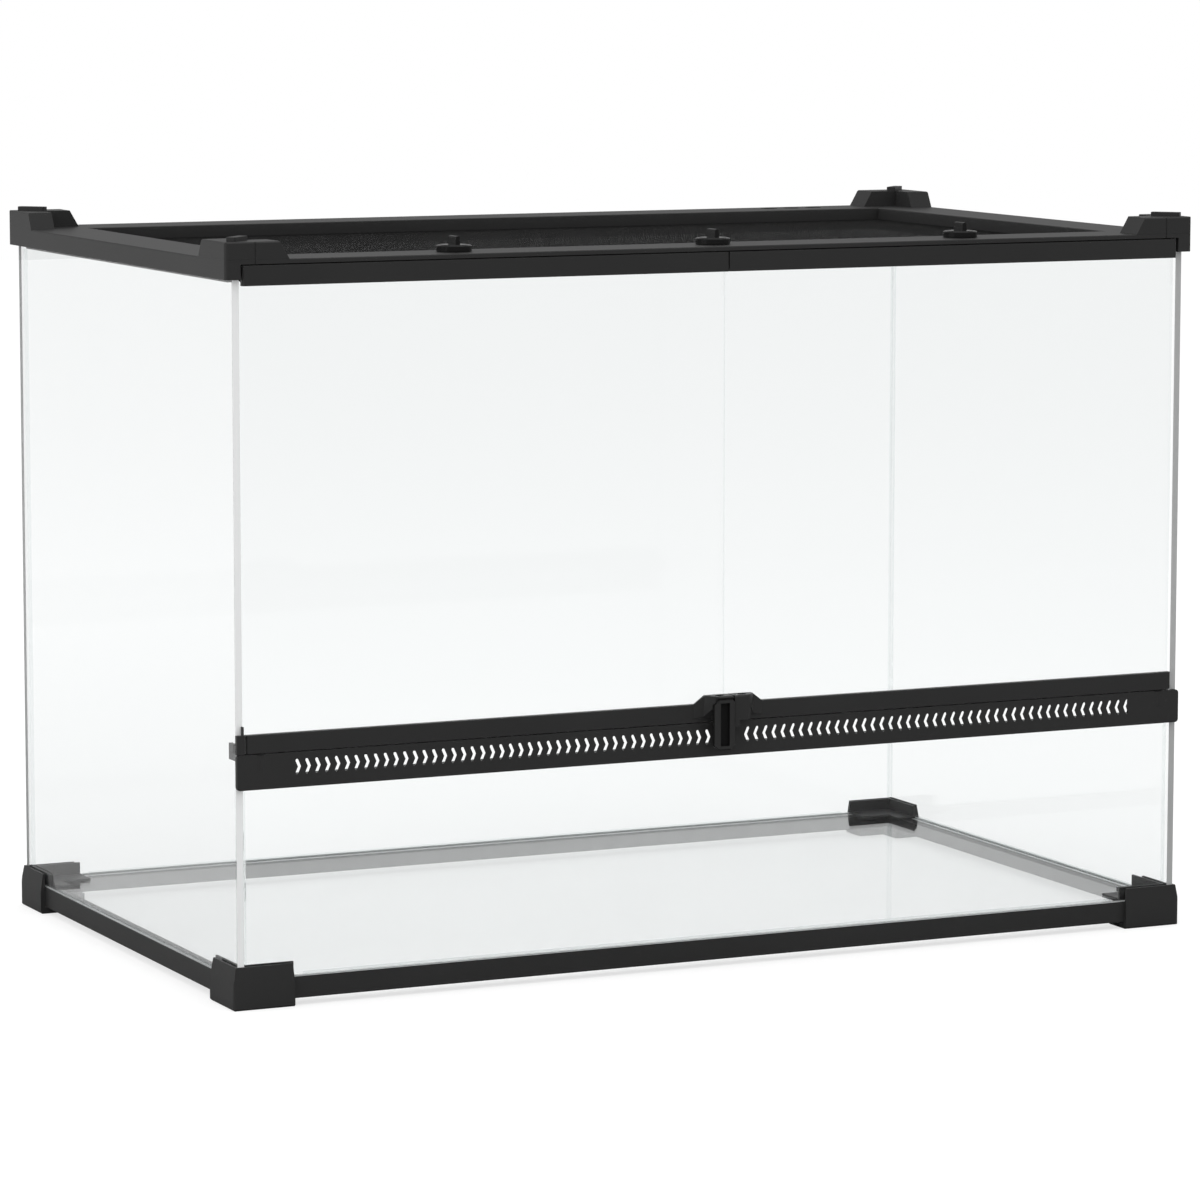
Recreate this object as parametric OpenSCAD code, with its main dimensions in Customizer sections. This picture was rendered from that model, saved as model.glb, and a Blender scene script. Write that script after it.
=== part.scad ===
// Glass terrarium with two front doors, a vent strip, a lift-out screen lid and three turn latches.
// Millimetres, Z up. The origin lies on the ground, at the middle of the whole footprint.

/* [Frame] */
// Width over the top frame
frame_w = 600; // [560:1:900]
// Depth over the top frame
frame_d = 352.6; // [340:0.1:480]
// Height of the top of the rails above the ground
rail_top = 407.4; // [360:0.1:600]
// Width of a top rail in plan
rail_w = 36.5; // [35:0.5:40]
// Radius of the frame's upright outer corners
frame_corner_r = 2; // [1:0.5:3]

/* [Glass] */
// Thickness of every pane
glass_t = 4; // [3:0.5:4]
// How far the side walls stand in from the frame's edge
wall_inset_x = 4.9; // [4:0.1:6]
// How far the front and rear walls stand in from the frame's edge
wall_inset_y = 3; // [2.5:0.1:4]

/* [Corner blocks] */
// Height of a corner block above the rails
block_h = 9.5; // [6:0.5:14]
// Length of a block's arm along the width, at its base
block_arm_x = 37; // [34:1:45]
// Length of a block's arm along the depth, at its base
block_arm_y = 40; // [36:1:45]
// Length of the stacking lug on a block
lug_len = 17; // [12:1:18]
// Width of the stacking lug
lug_w = 5.5; // [4:0.5:6]
// Height of the stacking lug
lug_h = 2.4; // [1.5:0.1:2.6]

/* [Feet] */
// Height of a foot
foot_h = 23.8; // [20:0.1:30]
// How far the base rails hang above the ground
base_gap = 4; // [3.5:0.5:5]
// Length of a foot's arms
foot_arm = 36; // [30:1:45]

/* [Doors] */
// Height of the lower edge of the doors above the ground
door_z = 140.9; // [120:0.1:180]
// Height of a door's lower rail
door_rail_h = 10.1; // [9:0.1:12]
// Height of a door's top rail
door_top_h = 11.1; // [10:0.1:12]
// Depth of a door's rails
door_rail_d = 10.3; // [10:0.1:11]
// Radius of a hinge pin
pin_r = 2; // [1.5:0.1:2]
// Gap between the two doors
door_gap = 0.8; // [0.6:0.1:2]

/* [Vent strip] */
// Height of the vent strip
strip_h = 19.3; // [19:0.1:22]
// Vent slots on each side of the middle
vents_per_side = 44; // [20:1:44]
// Distance from slot to slot
vent_pitch = 5.76; // [5.5:0.01:5.9]
// Height of a vent slot
vent_h = 8.7; // [7:0.1:9]
// Width of a vent slot's stroke
vent_stroke = 1.8; // [1.2:0.1:2]

/* [Latches] */
// Radius of a latch knob
knob_r = 9.75; // [8:0.25:11]
// Distance from the middle latch to the outer ones
latch_x = 158; // [120:1:200]
// Reach of a latch tongue from its axis
tongue_len = 24; // [21:0.5:25]

/* [Lid] */
// Width of a bar of the lid's frame
lid_bar_w = 12; // [11:1:15]
// Gaps in the screen along the width
net_x = 24; // [10:1:25]
// Gaps in the screen along the depth
net_y = 12; // [6:1:12]

/* [Hidden] */
$fn = 48;
black = "#2b2b2b";
glass_tint = [0.93, 0.96, 0.96, 0.35];
clear_seal = [0.85, 0.87, 0.87, 0.8];
fit = 0.1;              // gap between pieces that seat on each other
run = 0.05;             // radial play of a turning pin
pin_play = 0.02;        // radial play of a pin pressed into its door
cut = 1;                // how far a cutter runs past a face
far = 1000;             // longer than anything here

half_x = frame_w / 2;
half_y = frame_d / 2;
wall_x = half_x - wall_inset_x;
wall_y = half_y - wall_inset_y;
in_x = wall_x - glass_t;
in_y = wall_y - glass_t;

// base frame
base_rail_w = 12;
shoulder_z = base_gap + 12.2;
floor_z = base_gap + 8;
floor_top = floor_z + glass_t;

// feet
foot_x = wall_x + 3.2;
foot_y = wall_y + 2.3;
foot_side_z = 12.8;
foot_lean_x = 1.8;
foot_lean_y = 1.3;
foot_band = 19;
foot_chamfer = 1;

// top frame
web_t = 2.5;
web_z = rail_top - web_t;
skirt_z = rail_top - 10.7;
flange_z = rail_top - 12.8;
flange_t = 3;
inner_wall_t = 2;
lid_seat_z = rail_top - 11.2;
seat_t = 1.6;
seat_w = 5;
edge_round = 0.8;
block_slope_x = 5.5;
block_slope_y = 5;
block_w_x = 19;
block_w_y = 14.5;
block_bevel = 0.7;
lug_in = 11;
seam_x = half_x - 17.2;
seam_w = 0.8;
seam_d = 0.35;

// pegs that hold the corner blocks on the rails
peg_r = 2;
peg_a = [half_x - 24, half_y - 12.5];
peg_b = [half_x - 8, half_y - 26];

// doors, which fill the front between the side walls
hinge_x = in_x - 9.5;
hinge_y = -half_y + 5;
nose_r = 9.2;
door_end_x = in_x - 1.1;
door_front = -half_y;
door_glass_y = door_front + 3.8;
door_rail_top = door_z + door_rail_h;
door_top = web_z - 0.5;
door_low = door_top - door_top_h;
door_web = 3.5;
pocket_x = in_x + 0.1;
pocket_y = hinge_y + nose_r + 0.3;
stop_t = 1.2;

// bosses with the padlock holes, and the pull on the left door
boss_z = door_rail_top + 5;
boss_front = door_front - 8.5;
boss_base_x = 21.6;
boss_top_x = 14.7;
padlock_x = 7;
padlock_y = door_front - 3.6;
padlock_r = 2.5;
pull_front = door_front - 10;
pull_t = 2.9;
pull_x0 = -13.1;
pull_x1 = -door_gap / 2;
pull_low = door_z - 15.3;
pull_high = boss_z - 1.8;
boss_lip = 0.9;

// the whole stands evenly about the origin, with the pull counted in
tank_y = (-pull_front - half_y) / 2;

// vent strip
strip_top = door_z - 0.6;
strip_low = strip_top - strip_h;
strip_x = wall_x + 0.4;
strip_t = 2.9;
strip_r = 2;
vent_w = 3.3;
vent_first = 9.7;
vent_skin = 0.8;
vent_z = strip_low + 11.25;
front_pane_top = strip_low + 5;
hinge_block_h = 9.3;

// latches
latch_in = 20.7;
latch_y = -half_y + latch_in;
tongue_z = rail_top - 6.1;
tongue_t = 2.4;
tongue_w = 6;
spindle_r = 4;
drive_w = 4.4;

// lid
lid_gap = 0.6;
lid_x = half_x - rail_w - lid_gap;
lid_y = half_y - rail_w - lid_gap;
lid_bar_t = 3.8;
net_z = lid_seat_z + lid_bar_t;
net_t = 0.6;
net_bar = 1.5;

// cable inlets in the rear rail
inlet_r = 5.25;
inlet_x = 214;
inlet_pitch = 15.5;
inlet_y = half_y - 13;

// Placing

module in_frame() {
    translate([0, tank_y, 0]) children();
}

module flip_y(sy) {
    if (sy > 0) children();
    else mirror([0, 1, 0]) children();
}

// Carries a shape drawn in the right rear quarter into any quarter
module quarter(sx, sy) {
    if (sx > 0) flip_y(sy) children();
    else mirror([1, 0, 0]) flip_y(sy) children();
}

module block_at(low, high) {
    translate(low) cube(high - low);
}

// Extrudes an outline of (x, z) points along Y, from y0 to y1
module along_y(y0, y1) {
    translate([0, y1, 0]) rotate([90, 0, 0]) linear_extrude(y1 - y0) children();
}

// Extrudes an outline of (y, z) points along X, from x0 to x1
module along_x(x0, x1) {
    translate([x0, 0, 0]) rotate([90, 0, 90]) linear_extrude(x1 - x0) children();
}

module rounded_plan(w, d, r) {
    square([w - 2 * r, d], center = true);
    square([w, d - 2 * r], center = true);
    for (sx = [-1, 1], sy = [-1, 1])
        translate([sx * (w / 2 - r), sy * (d / 2 - r)]) circle(r);
}

// Plan of one mitred bar of a ring: the bar on the +X side
module mitre_right(hx, hy, depth) {
    polygon([[hx, -hy], [hx, hy], [hx - depth, hy - depth], [hx - depth, -hy + depth]]);
}

// Plan of the mitred bar on the +Y side
module mitre_rear(hx, hy, depth) {
    polygon([[-hx, hy], [hx, hy], [hx - depth, hy - depth], [-hx + depth, hy - depth]]);
}

// Glass

module pane(low, high) {
    color(glass_tint) block_at(low, high);
}

module floor_glass() {
    pane([-in_x + 0.3, -in_y + 0.3, floor_z], [in_x - 0.3, in_y - 0.3, floor_top]);
}

module side_wall_glass(sx) {
    quarter(sx, 1) pane([in_x, -wall_y, shoulder_z], [wall_x, wall_y, web_z - 0.2]);
}

module rear_wall_glass() {
    pane([-in_x + 0.3, in_y, shoulder_z], [in_x - 0.3, wall_y, web_z - 0.2]);
}

module front_pane_glass() {
    pane([-in_x + 0.3, -wall_y, shoulder_z], [in_x - 0.3, -in_y, front_pane_top]);
}

// Base frame

// Section of a base rail, d inward from its outer face: a shoulder for the wall, a ledge for the floor
module base_section() {
    wall_seat = glass_t - fit;
    polygon([
        [0, base_gap], [0, shoulder_z], [wall_seat, shoulder_z], [wall_seat, floor_z],
        [base_rail_w, floor_z], [base_rail_w, base_gap], [base_rail_w - 2, base_gap],
        [base_rail_w - 2, floor_z - 2], [2, floor_z - 2], [2, base_gap]
    ]);
}

module base_rail_side(sx) {
    color(black) quarter(sx, 1) intersection() {
        translate([wall_x, 0, 0]) mirror([1, 0, 0]) along_y(-wall_y, wall_y) base_section();
        linear_extrude(shoulder_z + cut) mitre_right(wall_x, wall_y, base_rail_w);
    }
}

module base_rail_long(sy) {
    color(black) quarter(1, sy) intersection() {
        translate([0, wall_y, 0]) mirror([0, 1, 0]) along_x(-wall_x, wall_x) base_section();
        linear_extrude(shoulder_z + cut) mitre_rear(wall_x, wall_y, base_rail_w);
    }
}

// Side outline of a foot: chamfered sole, upright side, then a slight lean to the top
module foot_outline(outer, arm, lean) {
    polygon([
        [outer - arm, 0], [outer - foot_chamfer, 0], [outer, foot_chamfer], [outer, foot_side_z],
        [outer - lean, foot_h], [outer - arm + 0.8, foot_h], [outer - arm, foot_side_z]
    ]);
}

module foot(sx, sy) {
    color(black) quarter(sx, sy) difference() {
        intersection() {
            along_y(foot_y - foot_arm - cut, foot_y + cut) foot_outline(foot_x, foot_arm, foot_lean_x);
            along_x(foot_x - foot_arm - cut, foot_x + cut) foot_outline(foot_y, foot_arm, foot_lean_y);
            linear_extrude(foot_h + cut) rounded_plan(2 * foot_x, 2 * foot_y, frame_corner_r);
        }
        block_at([0, 0, base_gap], [wall_x + fit, wall_y + fit, foot_h + cut]);
        block_at([0, 0, -cut], [foot_x - foot_band, foot_y - foot_band, foot_h + cut]);
        translate([half_x - lug_in, half_y - lug_in, 0]) rotate(45)
            cube([lug_len + 1, lug_w + 1, 2 * (lug_h + 0.4)], center = true);
    }
}

// Clips that hold down the corners of the floor pane
module floor_corner_clips() {
    arm_x = 30;
    arm_y = 34;
    ledge_x = 12;
    ledge_y = 20;
    ledge_t = 1.3;
    lip_t = 1.5;
    inner_x = in_x - fit;
    inner_y = in_y - fit;
    top = foot_h + 0.2;
    color(black) for (sx = [-1, 1], sy = [-1, 1]) quarter(sx, sy) {
        block_at([inner_x - arm_x, inner_y - ledge_y, floor_top], [inner_x, inner_y, floor_top + ledge_t]);
        block_at([inner_x - ledge_x, inner_y - arm_y, floor_top], [inner_x, inner_y, floor_top + ledge_t]);
        block_at([inner_x - arm_x, inner_y - lip_t, floor_top], [inner_x, inner_y, top]);
        block_at([inner_x - lip_t, inner_y - arm_y, floor_top], [inner_x, inner_y, top]);
    }
}

// A sealant bead of triangular section in an inside corner
module bead_section(leg) {
    polygon([[0, 0], [-leg, 0], [0, -leg]]);
}

module corner_seals() {
    leg = 2.5;
    low = foot_h + 0.5;
    color(clear_seal) for (sx = [-1, 1]) {
        quarter(sx, 1) translate([in_x, in_y, low])
            linear_extrude(flange_z - 0.2 - low) bead_section(leg);
        quarter(sx, -1) translate([in_x, in_y, low])
            linear_extrude(strip_low - 0.2 - low) bead_section(leg);
    }
}

module floor_seals() {
    leg = 2;
    clip_room = 36;
    color(clear_seal) {
        for (sy = [-1, 1]) quarter(1, sy)
            translate([0, in_y, floor_top]) along_x(clip_room - in_x, in_x - clip_room)
                polygon([[0, 0], [-leg, 0], [0, leg]]);
        for (sx = [-1, 1]) quarter(sx, 1)
            translate([in_x, 0, floor_top]) along_y(clip_room - in_y, in_y - clip_room)
                polygon([[0, 0], [-leg, 0], [0, leg]]);
    }
}

// Top frame

// Inner part that all four top rails share, from the top face down round the recess wall and the lid's seat
recess_side = [
    [rail_w - 0.4, rail_top], [rail_w, rail_top - 0.4], [rail_w, lid_seat_z],
    [rail_w + seat_w, lid_seat_z], [rail_w + seat_w, lid_seat_z - seat_t],
    [rail_w - inner_wall_t, lid_seat_z - seat_t], [rail_w - inner_wall_t, web_z]
];

// Section of a side or rear rail, d inward from the outer face: the skirt ends at the wall's groove
module walled_section(groove) {
    polygon(concat(
        [[0, skirt_z], [0, rail_top]], recess_side, [[groove - fit, web_z], [groove - fit, skirt_z]]
    ));
}

// Section of the front rail, with the doors' stop
module front_section() {
    stop = pocket_y + half_y;
    polygon(concat([[0, web_z], [0, rail_top]], recess_side, [
        [stop + stop_t, web_z], [stop + stop_t, flange_z], [stop, flange_z], [stop, web_z]
    ]));
}

// Flange behind a wall, from a to b along the rail, on the rail's inner side of the groove
module flange_x(a, b) {
    block_at([a, in_y - fit - flange_t, flange_z], [b, in_y - fit, web_z + cut]);
}

module flange_y(a, b) {
    block_at([in_x - fit - flange_t, a, flange_z], [in_x - fit, b, web_z + cut]);
}

// Takes the sharp outer top edge off between the blocks: the waste beside a quarter round
module edge_waste() {
    polygon(concat(
        [[-cut, rail_top + cut], [-cut, rail_top - edge_round]],
        [for (a = [180:-15:90]) [edge_round * (1 + cos(a)), rail_top - edge_round * (1 - sin(a))]],
        [[edge_round, rail_top + cut]]
    ));
}

module frame_outline() {
    linear_extrude(rail_top + cut) rounded_plan(frame_w, frame_d, frame_corner_r);
}

module peg_holes() {
    for (sx = [-1, 1], sy = [-1, 1]) quarter(sx, sy) for (at = [peg_a, peg_b])
        translate([at.x, at.y, web_z - cut]) cylinder(r = peg_r + fit, h = web_t + 2 * cut);
}

module top_rail_side(sx) {
    between = half_y - block_arm_y;
    color(black) difference() {
        quarter(sx, 1) union() {
            intersection() {
                translate([half_x, 0, 0]) mirror([1, 0, 0]) along_y(-half_y, half_y)
                    walled_section(wall_inset_x);
                linear_extrude(rail_top + cut) mitre_right(half_x, half_y, rail_w + seat_w);
                frame_outline();
            }
            flange_y(pocket_y + 0.4, in_y - flange_t - 2.3);
        }
        quarter(sx, 1) translate([half_x, 0, 0]) mirror([1, 0, 0]) along_y(-between, between) edge_waste();
        peg_holes();
    }
}

module top_rail_rear() {
    between = half_x - block_arm_x;
    end = in_x - 1.5;
    inlet_room = inlet_pitch + inlet_r + 4;
    color(black) difference() {
        union() {
            intersection() {
                translate([0, half_y, 0]) mirror([0, 1, 0]) along_x(-half_x, half_x)
                    walled_section(wall_inset_y);
                linear_extrude(rail_top + cut) mitre_rear(half_x, half_y, rail_w + seat_w);
                frame_outline();
            }
            flange_x(-end, inlet_x - inlet_room);
            flange_x(inlet_x + inlet_room, end);
        }
        translate([0, half_y, 0]) mirror([0, 1, 0]) along_x(-between, between) edge_waste();
        peg_holes();
        for (i = [-1:1]) translate([inlet_x + i * inlet_pitch, inlet_y, web_z - cut])
            cylinder(r = inlet_r, h = web_t + 2 * cut);
    }
}

// Shallow upright grooves that mark the hinge ends on the front
module front_seams(low, high) {
    for (sx = [-1, 1]) quarter(sx, -1)
        block_at([seam_x - seam_w / 2, half_y - seam_d, low], [seam_x + seam_w / 2, half_y + cut, high]);
}

// Cheeks close the front rail's ends below the web and wrap the front edges of the side walls
module front_cheeks() {
    for (sx = [-1, 1]) quarter(sx, -1) translate([0, 0, skirt_z]) linear_extrude(web_z + cut - skirt_z)
        polygon([
            [pocket_x, half_y], [half_x, half_y], [half_x, wall_y - 5], [wall_x + fit, wall_y - 5],
            [wall_x + fit, wall_y + fit], [pocket_x, wall_y + fit]
        ]);
}

module top_rail_front() {
    between = half_x - block_arm_x;
    slot_low = tongue_z - 0.4;
    slot_high = tongue_z + tongue_t + 0.4;
    slot_back = rail_w - latch_in;
    stop_half = 15;
    stop_front = door_front + door_rail_d + 0.2;
    color(black) difference() {
        intersection() {
            union() {
                translate([0, -half_y, 0]) along_x(-half_x, half_x) front_section();
                front_cheeks();
                block_at([-stop_half, stop_front, flange_z], [stop_half, pocket_y + stop_t, web_z + cut]);
            }
            mirror([0, 1, 0]) linear_extrude(rail_top + cut) mitre_rear(half_x, half_y, rail_w + seat_w);
            frame_outline();
        }
        translate([0, -half_y, 0]) along_x(-between, between) edge_waste();
        front_seams(web_z - cut, rail_top + cut);
        peg_holes();
        for (sx = [-1, 1]) translate([sx * hinge_x, hinge_y, web_z - cut])
            cylinder(r = pin_r + run, h = web_t + 2 * cut);
        for (i = [-1:1]) translate([i * latch_x, latch_y, 0]) {
            translate([0, 0, web_z - cut]) cylinder(r = spindle_r + run, h = web_t + 2 * cut);
            block_at([-5.5, slot_back - inner_wall_t - cut, slot_low],
                     [tongue_len - 2.5, slot_back + cut, slot_high]);
        }
    }
}

// Corner blocks: an L with sloping ends, pegged into the rails, with a stacking lug on top
module block(sx, sy) {
    top = rail_top + block_h;
    pivot_depth = 4.8;
    color(black) quarter(sx, sy) difference() {
        union() {
            intersection() {
                union() {
                    along_y(half_y - block_w_x, half_y) polygon([
                        [half_x - block_arm_x, rail_top], [half_x - block_arm_x + block_slope_x, top],
                        [half_x - block_bevel, top], [half_x, top - block_bevel], [half_x, rail_top]
                    ]);
                    along_x(half_x - block_w_y, half_x) polygon([
                        [half_y - block_arm_y, rail_top], [half_y - block_arm_y + block_slope_y, top],
                        [half_y - block_bevel, top], [half_y, top - block_bevel], [half_y, rail_top]
                    ]);
                }
                along_x(half_x - block_arm_x, half_x) polygon([
                    [half_y - block_arm_y, rail_top], [half_y - block_arm_y, top],
                    [half_y - block_bevel, top], [half_y, top - block_bevel], [half_y, rail_top]
                ]);
                along_y(half_y - block_arm_y, half_y) polygon([
                    [half_x - block_arm_x, rail_top], [half_x - block_arm_x, top],
                    [half_x - block_bevel, top], [half_x, top - block_bevel], [half_x, rail_top]
                ]);
                linear_extrude(top + cut) rounded_plan(frame_w, frame_d, frame_corner_r);
            }
            translate([half_x - lug_in, half_y - lug_in, top - cut]) rotate(45)
                linear_extrude(lug_h + cut) rounded_plan(lug_len, lug_w, 1);
            for (at = [peg_a, peg_b]) translate([at.x, at.y, web_z]) cylinder(r = peg_r, h = web_t + cut);
        }
        if (sy < 0) {
            translate([hinge_x, -hinge_y, rail_top - cut]) cylinder(r = pin_r + run, h = pivot_depth + cut);
            block_at([seam_x - seam_w / 2, half_y - seam_d, rail_top - cut],
                     [seam_x + seam_w / 2, half_y + cut, top + cut]);
        }
    }
}

// Vent strip

// One arrow-shaped slot pointing to +X, drawn about its tip's middle, with rounded ends
function vent_outline() =
    let (
        rise = vent_h / 2,
        run_x = vent_w - vent_stroke,
        len = norm([run_x, rise]),
        half = vent_stroke / 2,
        nx = rise / len * half,
        nz = run_x / len * half,
        mitre = half * len / rise,
        end_z = rise - half,
        turn = atan2(run_x, rise)
    )
    concat(
        [[run_x + mitre, 0]],
        [for (a = [0, 60, 120, 180])
            [half * cos(a + turn), end_z + half * sin(a + turn)]],
        [[run_x - mitre, 0]],
        [for (a = [180, 240, 300, 360])
            [half * cos(a - turn), -end_z + half * sin(a - turn)]]
    );

module vent_slots() {
    for (sx = [-1, 1], i = [0:vents_per_side - 1])
        translate([sx * (vent_first + i * vent_pitch + (sx < 0 ? vent_w : 0)), vent_z])
            if (sx < 0) polygon(vent_outline());
            else translate([vent_w, 0]) mirror([1, 0]) polygon(vent_outline());
}

module vent_strip() {
    back = door_front + strip_t;
    channel_x = in_x - 0.3;
    web_top = front_pane_top + 1.6;
    ledge_t = 2;
    slots_top = strip_top - ledge_t - 0.8;
    slots_end = vent_first + (vents_per_side - 1) * vent_pitch + vent_w + 1.5;
    lip_back = -in_y + 2;
    block_back = door_front + door_rail_d;
    block_in = hinge_x - 5.1;
    block_out = hinge_x + 7;
    sink_r = 5;
    color(black) difference() {
        union() {
            difference() {
                along_y(door_front, back) difference() {
                    translate([0, strip_low + strip_h / 2]) rounded_plan(2 * strip_x, strip_h, strip_r);
                    vent_slots();
                }
                block_at([-slots_end, door_front + vent_skin, web_top], [slots_end, back + cut, slots_top]);
            }
            block_at([-block_in - cut, back - 0.5, strip_top - ledge_t],
                     [block_in + cut, block_back, strip_top]);
            along_x(-channel_x, channel_x) polygon([
                [back - 0.5, front_pane_top + 0.2], [-in_y + fit, front_pane_top + 0.2],
                [-in_y + fit, strip_low + 0.5], [lip_back, strip_low + 0.5],
                [lip_back, web_top], [back - 0.5, web_top]
            ]);
            for (sx = [-1, 1]) quarter(sx, -1)
                block_at([block_in, -block_back, strip_top - hinge_block_h],
                         [block_out, -back + 0.5, strip_top]);
        }
        for (sx = [-1, 1]) {
            translate([sx * hinge_x, hinge_y, strip_top - hinge_block_h + 1])
                cylinder(r = pin_r + run, h = hinge_block_h);
            translate([sx * hinge_x, door_front - sink_r + 0.4, strip_top - hinge_block_h])
                cylinder(r = sink_r, h = hinge_block_h + cut);
            translate([sx * hinge_x, door_front - sink_r + 1, strip_top - 0.7])
                cylinder(r = sink_r, h = 1 + cut);
        }
    }
}

// Ears that hold the strip's ends against the side walls, and the pad on the left wall's front edge
module strip_clips() {
    pad = [-hinge_x - nose_r - 0.1, -wall_y - 0.2];
    fin_x = -in_x - 1.1;
    fin_h = 4.8;
    ear_front = -door_front - 12.3;
    ear_back = ear_front - 6;
    ear_low = strip_top - 4.3;
    inner = in_x - 2.2;
    outer = in_x - fit;
    color(black) for (sx = [-1, 1]) quarter(sx, -1) {
        block_at([inner, ear_back, ear_low], [outer, -door_front - 4, strip_top - fit]);
        block_at([inner, ear_back, ear_low], [outer, ear_front, ear_low + 9]);
    }
    color(black) {
        block_at([-strip_x, door_front, strip_top + fit], [pad.x, pad.y, door_rail_top]);
        block_at([fin_x, door_front, strip_top + fit], [fin_x + 0.8, pad.y, door_rail_top + fin_h]);
    }
}

// Doors, drawn for the left and mirrored for the right

module door_side(side) {
    if (side < 0) children();
    else mirror([1, 0, 0]) children();
}

// Plan of a door rail: straight, with an end that clears the wall as it turns
module door_rail_plan() {
    intersection() {
        union() {
            translate([-hinge_x, hinge_y]) circle(nose_r);
            translate([-hinge_x, door_front]) square([hinge_x - door_gap / 2, door_rail_d]);
        }
        translate([-door_end_x, door_front]) square([door_end_x - door_gap / 2, door_rail_d]);
    }
}

module door_glass(side) {
    color(glass_tint) door_side(side)
        block_at([-door_end_x, door_glass_y, door_z + door_web + fit],
                 [-door_gap / 2, door_glass_y + glass_t, door_top - door_web - fit]);
}

module door_top_rail(side) {
    slot0 = door_glass_y - fit;
    slot1 = door_glass_y + glass_t + fit;
    back = door_front + door_rail_d;
    color(black) door_side(side) difference() {
        intersection() {
            along_x(-half_x, 0) polygon([
                [door_front, door_low], [door_front, door_top - 0.5], [door_front + 0.5, door_top],
                [back, door_top], [back, door_low + 2.2], [slot1, door_low + 2.2],
                [slot1, door_top - door_web], [slot0, door_top - door_web], [slot0, door_low]
            ]);
            linear_extrude(far) door_rail_plan();
        }
        translate([-hinge_x, hinge_y, door_top - door_web - cut])
            cylinder(r = pin_r + pin_play, h = door_web + 2 * cut);
    }
}

// Boss on the inner end of a lower rail: sloping at its outer end, on a corbel, with a deep middle part
module door_boss() {
    inner = -door_gap / 2;
    deep_x = -10.5;
    ease = 0.8;
    intersection() {
        union() {
            along_x(-boss_base_x, inner) polygon([
                [door_front + ease, boss_z], [boss_front + ease, boss_z], [boss_front, boss_z - ease],
                [boss_front, boss_z - 4], [door_front, door_z + 2.2], [door_front + ease, door_z + 2.2]
            ]);
            along_x(deep_x, inner) polygon([
                [door_front + ease, boss_z], [boss_front + ease, boss_z], [boss_front, boss_z - ease],
                [boss_front, door_z + 1], [door_front + ease, door_z + 1]
            ]);
        }
        along_y(boss_front - cut, door_front + 2) polygon([
            [inner, 0], [inner, boss_z + cut], [-boss_top_x, boss_z + cut], [-boss_top_x, boss_z],
            [-boss_base_x, door_rail_top], [-boss_base_x, 0]
        ]);
        linear_extrude(far) polygon([
            [inner, boss_front - cut], [inner, door_front + 2], [-boss_base_x, door_front + 2],
            [-boss_base_x, door_front - 0.2], [-boss_top_x - 0.8, door_front - 1.2],
            [deep_x, boss_front + 0.8], [deep_x + 2, boss_front], [deep_x + 2, boss_front - cut]
        ]);
    }
}

module door_lower_rail(side) {
    slot0 = door_glass_y - fit;
    slot1 = door_glass_y + glass_t + fit;
    back = door_front + door_rail_d;
    pull_seat = pull_front + pull_t + fit;
    rib = [-3.6, door_z - 2.5];
    color(black) door_side(side) difference() {
        union() {
            intersection() {
                along_x(-half_x, 0) polygon([
                    [door_front, door_z], [door_front, door_rail_top - 0.4],
                    [door_front + 0.4, door_rail_top],
                    [slot0, door_rail_top], [slot0, door_z + door_web], [slot1, door_z + door_web],
                    [slot1, door_rail_top - 2.5], [back, door_rail_top - 2.5], [back, door_z]
                ]);
                linear_extrude(far) door_rail_plan();
            }
            door_boss();
            if (side > 0)
                block_at([rib.x, boss_front, rib.y], [-door_gap / 2, door_front - 0.3, boss_z - 4]);
        }
        translate([-hinge_x, hinge_y, door_z - cut]) cylinder(r = pin_r + pin_play, h = door_web + 2 * cut);
        translate([-padlock_x, padlock_y, door_z - cut])
            cylinder(r = padlock_r, h = boss_z - door_z + 2 * cut);
        if (side < 0) block_at([-boss_base_x, boss_front - cut, door_z], [0, pull_seat, boss_z - boss_lip]);
    }
}

module door_pins(side) {
    pivot_top = rail_top + 4.3;
    lower_end = strip_top - hinge_block_h + 1.5;
    color("#3a3a3a") door_side(side) {
        translate([-hinge_x, hinge_y, door_top - door_web + fit])
            cylinder(r = pin_r, h = pivot_top - door_top + door_web - fit);
        translate([-hinge_x, hinge_y, lower_end])
            cylinder(r = pin_r, h = door_z + door_web - fit - lower_end);
    }
}

// Finger pull of the left door: an eight-sided plate with an upright groove, hung in front of the strip
module door_pull() {
    slant_x = 3.7;
    slant_z = 2.9;
    groove0 = -9.1;
    groove1 = -3.6;
    groove_d = 2.2;
    color(black) difference() {
        intersection() {
            along_y(pull_front, pull_front + pull_t) polygon([
                [pull_x0, pull_low + slant_z], [pull_x0, pull_high - slant_z],
                [pull_x0 + slant_x, pull_high],
                [pull_x1 - 1.5, pull_high], [pull_x1, pull_high - 1.5], [pull_x1, pull_low + slant_z],
                [pull_x1 - slant_x + 1, pull_low], [pull_x0 + slant_x, pull_low]
            ]);
            along_x(pull_x0 - cut, pull_x1 + cut) polygon([
                [pull_front + 0.6, pull_low], [pull_front, pull_low + 0.6], [pull_front, pull_high - 0.4],
                [pull_front + 0.4, pull_high], [pull_front + pull_t, pull_high],
                [pull_front + pull_t, pull_low]
            ]);
        }
        block_at([groove0, pull_front - cut, pull_low + 2.4],
                 [groove1, pull_front + groove_d, pull_high - 2]);
    }
}

// Turn latches

module latch_at(i) {
    translate([i * latch_x, latch_y, 0]) children();
}

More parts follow.
